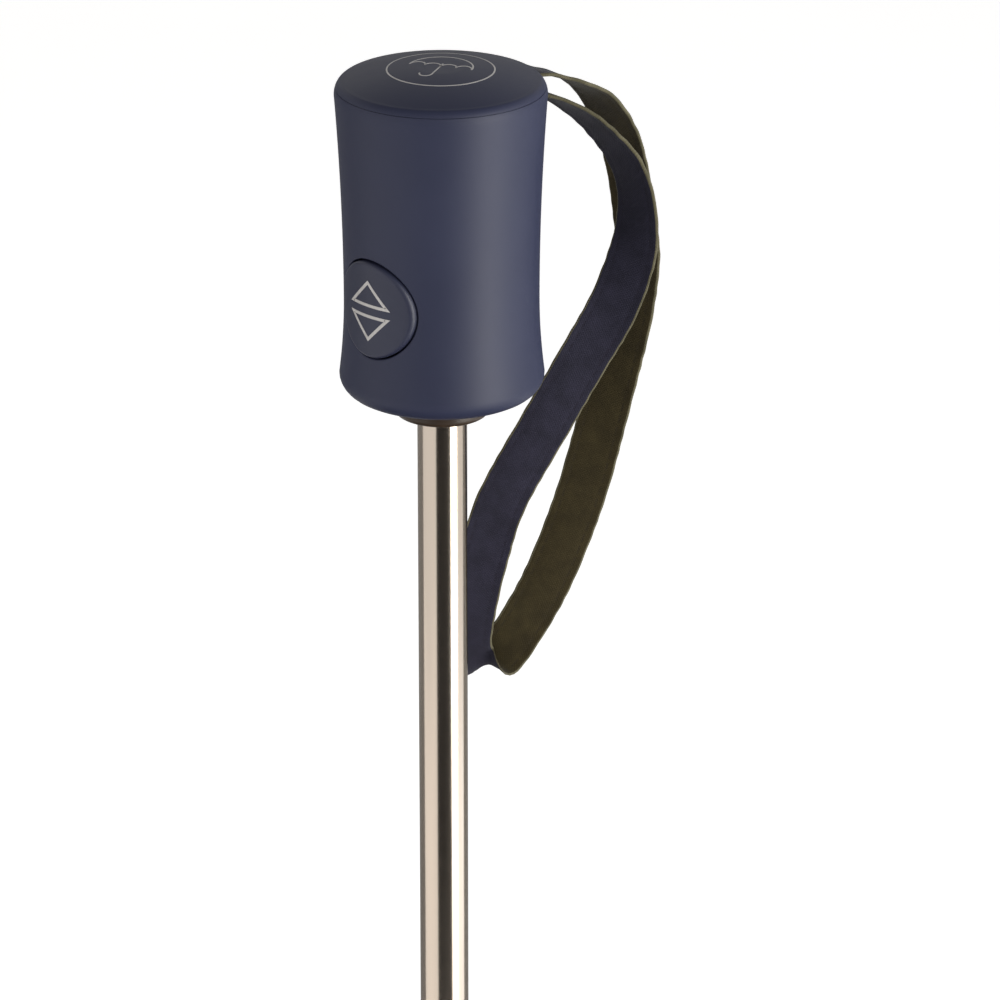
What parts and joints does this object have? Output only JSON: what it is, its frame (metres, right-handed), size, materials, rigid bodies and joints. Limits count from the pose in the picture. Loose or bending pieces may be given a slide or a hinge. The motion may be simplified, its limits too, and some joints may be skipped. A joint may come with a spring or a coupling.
{
  "type": "folding umbrella",
  "caption": "Automatic folding umbrella, open, handle up: waisted soft-touch grip with push button and wrist strap, telescopic shaft, folding ribs and a cloth canopy.",
  "frame": {"origin": "middle of the handle, on the shaft's axis, where a hand holds it", "axes": "+Z along the shaft towards the handle's domed cap, the canopy hangs below; -Y is the side with the push button"},
  "size_m": [0.9806, 0.9806, 0.7587],
  "materials": {
    "soft_touch": "soft-touch navy",
    "dark_plastic": "glossy brown-black moulding",
    "button_plastic": "matt dark grey with silver print",
    "nickel_tube": "warm nickel plating",
    "spring_steel": "drawn wire",
    "black_steel": "black lacquered steel",
    "nylon": "black nylon",
    "strap_webbing": "two-colour webbing, navy outside and olive inside",
    "canopy_cloth": "navy pongee, olive inside"
  },
  "bodies": {
    "handle": {"handle_shell": "soft_touch", "end_cap": "soft_touch", "handle_core": "dark_plastic", "handle_collar": "dark_plastic", "strap_bar": "spring_steel", "wrist_strap": "strap_webbing", "button_spring": "spring_steel", "lower_tube": "nickel_tube", "tube_end_bush": "dark_plastic", "drive_spring": "spring_steel", "spring_seat": "dark_plastic"},
    "button": {"push_button": "button_plastic"},
    "upper_shaft": {"upper_tube": "nickel_tube", "slide_plug": "dark_plastic", "crown": "nylon", "crown_ring_wire": "spring_steel", "ferrule_cap": "dark_plastic", "canopy": "canopy_cloth", "tie_band": "canopy_cloth", "band_stud": "spring_steel"},
    "runner": {"runner": "nylon"},
    "inner_rib_1": {"inner_rib_1": "black_steel"},
    "stretcher_1": {"stretcher_1": "black_steel"},
    "outer_rib_1": {"outer_rib_1": "black_steel"},
    "link_1": {"link_1": "spring_steel"},
    "inner_rib_2": {"inner_rib_2": "black_steel"},
    "stretcher_2": {"stretcher_2": "black_steel"},
    "outer_rib_2": {"outer_rib_2": "black_steel"},
    "link_2": {"link_2": "spring_steel"},
    "inner_rib_3": {"inner_rib_3": "black_steel"},
    "stretcher_3": {"stretcher_3": "black_steel"},
    "outer_rib_3": {"outer_rib_3": "black_steel"},
    "link_3": {"link_3": "spring_steel"},
    "inner_rib_4": {"inner_rib_4": "black_steel"},
    "stretcher_4": {"stretcher_4": "black_steel"},
    "outer_rib_4": {"outer_rib_4": "black_steel"},
    "link_4": {"link_4": "spring_steel"},
    "inner_rib_5": {"inner_rib_5": "black_steel"},
    "stretcher_5": {"stretcher_5": "black_steel"},
    "outer_rib_5": {"outer_rib_5": "black_steel"},
    "link_5": {"link_5": "spring_steel"},
    "inner_rib_6": {"inner_rib_6": "black_steel"},
    "stretcher_6": {"stretcher_6": "black_steel"},
    "outer_rib_6": {"outer_rib_6": "black_steel"},
    "link_6": {"link_6": "spring_steel"},
    "inner_rib_7": {"inner_rib_7": "black_steel"},
    "stretcher_7": {"stretcher_7": "black_steel"},
    "outer_rib_7": {"outer_rib_7": "black_steel"},
    "link_7": {"link_7": "spring_steel"},
    "inner_rib_8": {"inner_rib_8": "black_steel"},
    "stretcher_8": {"stretcher_8": "black_steel"},
    "outer_rib_8": {"outer_rib_8": "black_steel"},
    "link_8": {"link_8": "spring_steel"}
  },
  "joints": [
    {"name": "button_press", "type": "slide", "parent": "handle", "child": "button", "axis": [0, 1, 0], "range_m": [0, 0.0025], "stiffness_N_per_m": 400, "springref_m": -0.002, "deforming": ["button_spring"]},
    {"name": "shaft_slide", "type": "slide", "parent": "handle", "child": "upper_shaft", "axis": [0, 0, 1], "range_m": [0, 0.325], "deforming": ["drive_spring", "wrist_strap"]},
    {"name": "rib_fold_1", "type": "hinge", "parent": "upper_shaft", "child": "inner_rib_1", "pos_m": [0.012, 0, -0.6885], "axis": [0, -1, 0], "range_deg": [0, 76], "deforming": ["canopy", "tie_band", "band_stud"]},
    {"name": "stretcher_turn_1", "type": "hinge", "parent": "inner_rib_1", "child": "stretcher_1", "pos_m": [0.14222, 0, -0.65274], "axis": [0, -1, 0], "range_deg": [-129.8, 0]},
    {"name": "outer_fold_1", "type": "hinge", "parent": "inner_rib_1", "child": "outer_rib_1", "pos_m": [0.26985, 0, -0.6273], "axis": [0, -1, 0], "range_deg": [-194.51, 0]},
    {"name": "link_turn_1", "type": "hinge", "parent": "stretcher_1", "child": "link_1", "pos_m": [0.13417, 0, -0.64679], "axis": [0, -1, 0], "range_deg": [0, 130.97]},
    {"name": "rib_fold_2", "type": "hinge", "parent": "upper_shaft", "child": "inner_rib_2", "pos_m": [0.00848, 0.00848, -0.6885], "axis": [0.7071, -0.7071, 0], "range_deg": [0, 76.01]},
    {"name": "stretcher_turn_2", "type": "hinge", "parent": "inner_rib_2", "child": "stretcher_2", "pos_m": [0.10056, 0.10056, -0.65274], "axis": [0.7071, -0.7071, 0], "range_deg": [-129.8, 0]},
    {"name": "outer_fold_2", "type": "hinge", "parent": "inner_rib_2", "child": "outer_rib_2", "pos_m": [0.19082, 0.19082, -0.6273], "axis": [0.7071, -0.7071, 0], "range_deg": [-194.51, 0]},
    {"name": "link_turn_2", "type": "hinge", "parent": "stretcher_2", "child": "link_2", "pos_m": [0.09487, 0.09487, -0.64679], "axis": [0.7071, -0.7071, 0], "range_deg": [0, 130.97]},
    {"name": "rib_fold_3", "type": "hinge", "parent": "upper_shaft", "child": "inner_rib_3", "pos_m": [0, 0.012, -0.6885], "axis": [1, 0, 0], "range_deg": [0, 76.01]},
    {"name": "stretcher_turn_3", "type": "hinge", "parent": "inner_rib_3", "child": "stretcher_3", "pos_m": [0, 0.14222, -0.65274], "axis": [1, 0, 0], "range_deg": [-129.8, 0]},
    {"name": "outer_fold_3", "type": "hinge", "parent": "inner_rib_3", "child": "outer_rib_3", "pos_m": [0, 0.26985, -0.6273], "axis": [1, 0, 0], "range_deg": [-194.51, 0]},
    {"name": "link_turn_3", "type": "hinge", "parent": "stretcher_3", "child": "link_3", "pos_m": [0, 0.13417, -0.64679], "axis": [1, 0, 0], "range_deg": [0, 130.97]},
    {"name": "rib_fold_4", "type": "hinge", "parent": "upper_shaft", "child": "inner_rib_4", "pos_m": [-0.00848, 0.00848, -0.6885], "axis": [0.7071, 0.7071, 0], "range_deg": [0, 76.01]},
    {"name": "stretcher_turn_4", "type": "hinge", "parent": "inner_rib_4", "child": "stretcher_4", "pos_m": [-0.10056, 0.10056, -0.65274], "axis": [0.7071, 0.7071, 0], "range_deg": [-129.8, 0]},
    {"name": "outer_fold_4", "type": "hinge", "parent": "inner_rib_4", "child": "outer_rib_4", "pos_m": [-0.19082, 0.19082, -0.6273], "axis": [0.7071, 0.7071, 0], "range_deg": [-194.51, 0]},
    {"name": "link_turn_4", "type": "hinge", "parent": "stretcher_4", "child": "link_4", "pos_m": [-0.09487, 0.09487, -0.64679], "axis": [0.7071, 0.7071, 0], "range_deg": [0, 130.97]},
    {"name": "rib_fold_5", "type": "hinge", "parent": "upper_shaft", "child": "inner_rib_5", "pos_m": [-0.012, 0, -0.6885], "axis": [0, 1, 0], "range_deg": [0, 76.01]},
    {"name": "stretcher_turn_5", "type": "hinge", "parent": "inner_rib_5", "child": "stretcher_5", "pos_m": [-0.14222, 0, -0.65274], "axis": [0, 1, 0], "range_deg": [-129.8, 0]},
    {"name": "outer_fold_5", "type": "hinge", "parent": "inner_rib_5", "child": "outer_rib_5", "pos_m": [-0.26985, 0, -0.6273], "axis": [0, 1, 0], "range_deg": [-194.51, 0]},
    {"name": "link_turn_5", "type": "hinge", "parent": "stretcher_5", "child": "link_5", "pos_m": [-0.13417, 0, -0.64679], "axis": [0, 1, 0], "range_deg": [0, 130.97]},
    {"name": "rib_fold_6", "type": "hinge", "parent": "upper_shaft", "child": "inner_rib_6", "pos_m": [-0.00848, -0.00848, -0.6885], "axis": [-0.7071, 0.7071, 0], "range_deg": [0, 76.01]},
    {"name": "stretcher_turn_6", "type": "hinge", "parent": "inner_rib_6", "child": "stretcher_6", "pos_m": [-0.10056, -0.10056, -0.65274], "axis": [-0.7071, 0.7071, 0], "range_deg": [-129.8, 0]},
    {"name": "outer_fold_6", "type": "hinge", "parent": "inner_rib_6", "child": "outer_rib_6", "pos_m": [-0.19082, -0.19082, -0.6273], "axis": [-0.7071, 0.7071, 0], "range_deg": [-194.51, 0]},
    {"name": "link_turn_6", "type": "hinge", "parent": "stretcher_6", "child": "link_6", "pos_m": [-0.09487, -0.09487, -0.64679], "axis": [-0.7071, 0.7071, 0], "range_deg": [0, 130.97]},
    {"name": "rib_fold_7", "type": "hinge", "parent": "upper_shaft", "child": "inner_rib_7", "pos_m": [0, -0.012, -0.6885], "axis": [-1, 0, 0], "range_deg": [0, 76.01]},
    {"name": "stretcher_turn_7", "type": "hinge", "parent": "inner_rib_7", "child": "stretcher_7", "pos_m": [0, -0.14222, -0.65274], "axis": [-1, 0, 0], "range_deg": [-129.8, 0]},
    {"name": "outer_fold_7", "type": "hinge", "parent": "inner_rib_7", "child": "outer_rib_7", "pos_m": [0, -0.26985, -0.6273], "axis": [-1, 0, 0], "range_deg": [-194.51, 0]},
    {"name": "link_turn_7", "type": "hinge", "parent": "stretcher_7", "child": "link_7", "pos_m": [0, -0.13417, -0.64679], "axis": [-1, 0, 0], "range_deg": [0, 130.97]},
    {"name": "rib_fold_8", "type": "hinge", "parent": "upper_shaft", "child": "inner_rib_8", "pos_m": [0.00848, -0.00848, -0.6885], "axis": [-0.7071, -0.7071, 0], "range_deg": [0, 76.01]},
    {"name": "stretcher_turn_8", "type": "hinge", "parent": "inner_rib_8", "child": "stretcher_8", "pos_m": [0.10056, -0.10056, -0.65274], "axis": [-0.7071, -0.7071, 0], "range_deg": [-129.8, 0]},
    {"name": "outer_fold_8", "type": "hinge", "parent": "inner_rib_8", "child": "outer_rib_8", "pos_m": [0.19082, -0.19082, -0.6273], "axis": [-0.7071, -0.7071, 0], "range_deg": [-194.51, 0]},
    {"name": "link_turn_8", "type": "hinge", "parent": "stretcher_8", "child": "link_8", "pos_m": [0.09487, -0.09487, -0.64679], "axis": [-0.7071, -0.7071, 0], "range_deg": [0, 130.97]},
    {"name": "runner_slide", "type": "slide", "parent": "upper_shaft", "child": "runner", "axis": [0, 0, 1], "range_m": [0, 0.16621]}
  ],
  "couplings": [
    {"joint": "stretcher_turn_1", "follows": "rib_fold_1", "ratio": -1.7078},
    {"joint": "outer_fold_1", "follows": "rib_fold_1", "ratio": -2.5592},
    {"joint": "link_turn_1", "follows": "rib_fold_1", "ratio": 1.7231},
    {"joint": "rib_fold_2", "follows": "rib_fold_1", "ratio": 1},
    {"joint": "stretcher_turn_2", "follows": "rib_fold_1", "ratio": -1.7078},
    {"joint": "outer_fold_2", "follows": "rib_fold_1", "ratio": -2.5592},
    {"joint": "link_turn_2", "follows": "rib_fold_1", "ratio": 1.7231},
    {"joint": "rib_fold_3", "follows": "rib_fold_1", "ratio": 1},
    {"joint": "stretcher_turn_3", "follows": "rib_fold_1", "ratio": -1.7078},
    {"joint": "outer_fold_3", "follows": "rib_fold_1", "ratio": -2.5592},
    {"joint": "link_turn_3", "follows": "rib_fold_1", "ratio": 1.7231},
    {"joint": "rib_fold_4", "follows": "rib_fold_1", "ratio": 1},
    {"joint": "stretcher_turn_4", "follows": "rib_fold_1", "ratio": -1.7078},
    {"joint": "outer_fold_4", "follows": "rib_fold_1", "ratio": -2.5592},
    {"joint": "link_turn_4", "follows": "rib_fold_1", "ratio": 1.7231},
    {"joint": "rib_fold_5", "follows": "rib_fold_1", "ratio": 1},
    {"joint": "stretcher_turn_5", "follows": "rib_fold_1", "ratio": -1.7078},
    {"joint": "outer_fold_5", "follows": "rib_fold_1", "ratio": -2.5592},
    {"joint": "link_turn_5", "follows": "rib_fold_1", "ratio": 1.7231},
    {"joint": "rib_fold_6", "follows": "rib_fold_1", "ratio": 1},
    {"joint": "stretcher_turn_6", "follows": "rib_fold_1", "ratio": -1.7078},
    {"joint": "outer_fold_6", "follows": "rib_fold_1", "ratio": -2.5592},
    {"joint": "link_turn_6", "follows": "rib_fold_1", "ratio": 1.7231},
    {"joint": "rib_fold_7", "follows": "rib_fold_1", "ratio": 1},
    {"joint": "stretcher_turn_7", "follows": "rib_fold_1", "ratio": -1.7078},
    {"joint": "outer_fold_7", "follows": "rib_fold_1", "ratio": -2.5592},
    {"joint": "link_turn_7", "follows": "rib_fold_1", "ratio": 1.7231},
    {"joint": "rib_fold_8", "follows": "rib_fold_1", "ratio": 1},
    {"joint": "stretcher_turn_8", "follows": "rib_fold_1", "ratio": -1.7078},
    {"joint": "outer_fold_8", "follows": "rib_fold_1", "ratio": -2.5592},
    {"joint": "link_turn_8", "follows": "rib_fold_1", "ratio": 1.7231},
    {"joint": "runner_slide", "follows": "rib_fold_1", "m_per_rad": 0.12529}
  ]
}
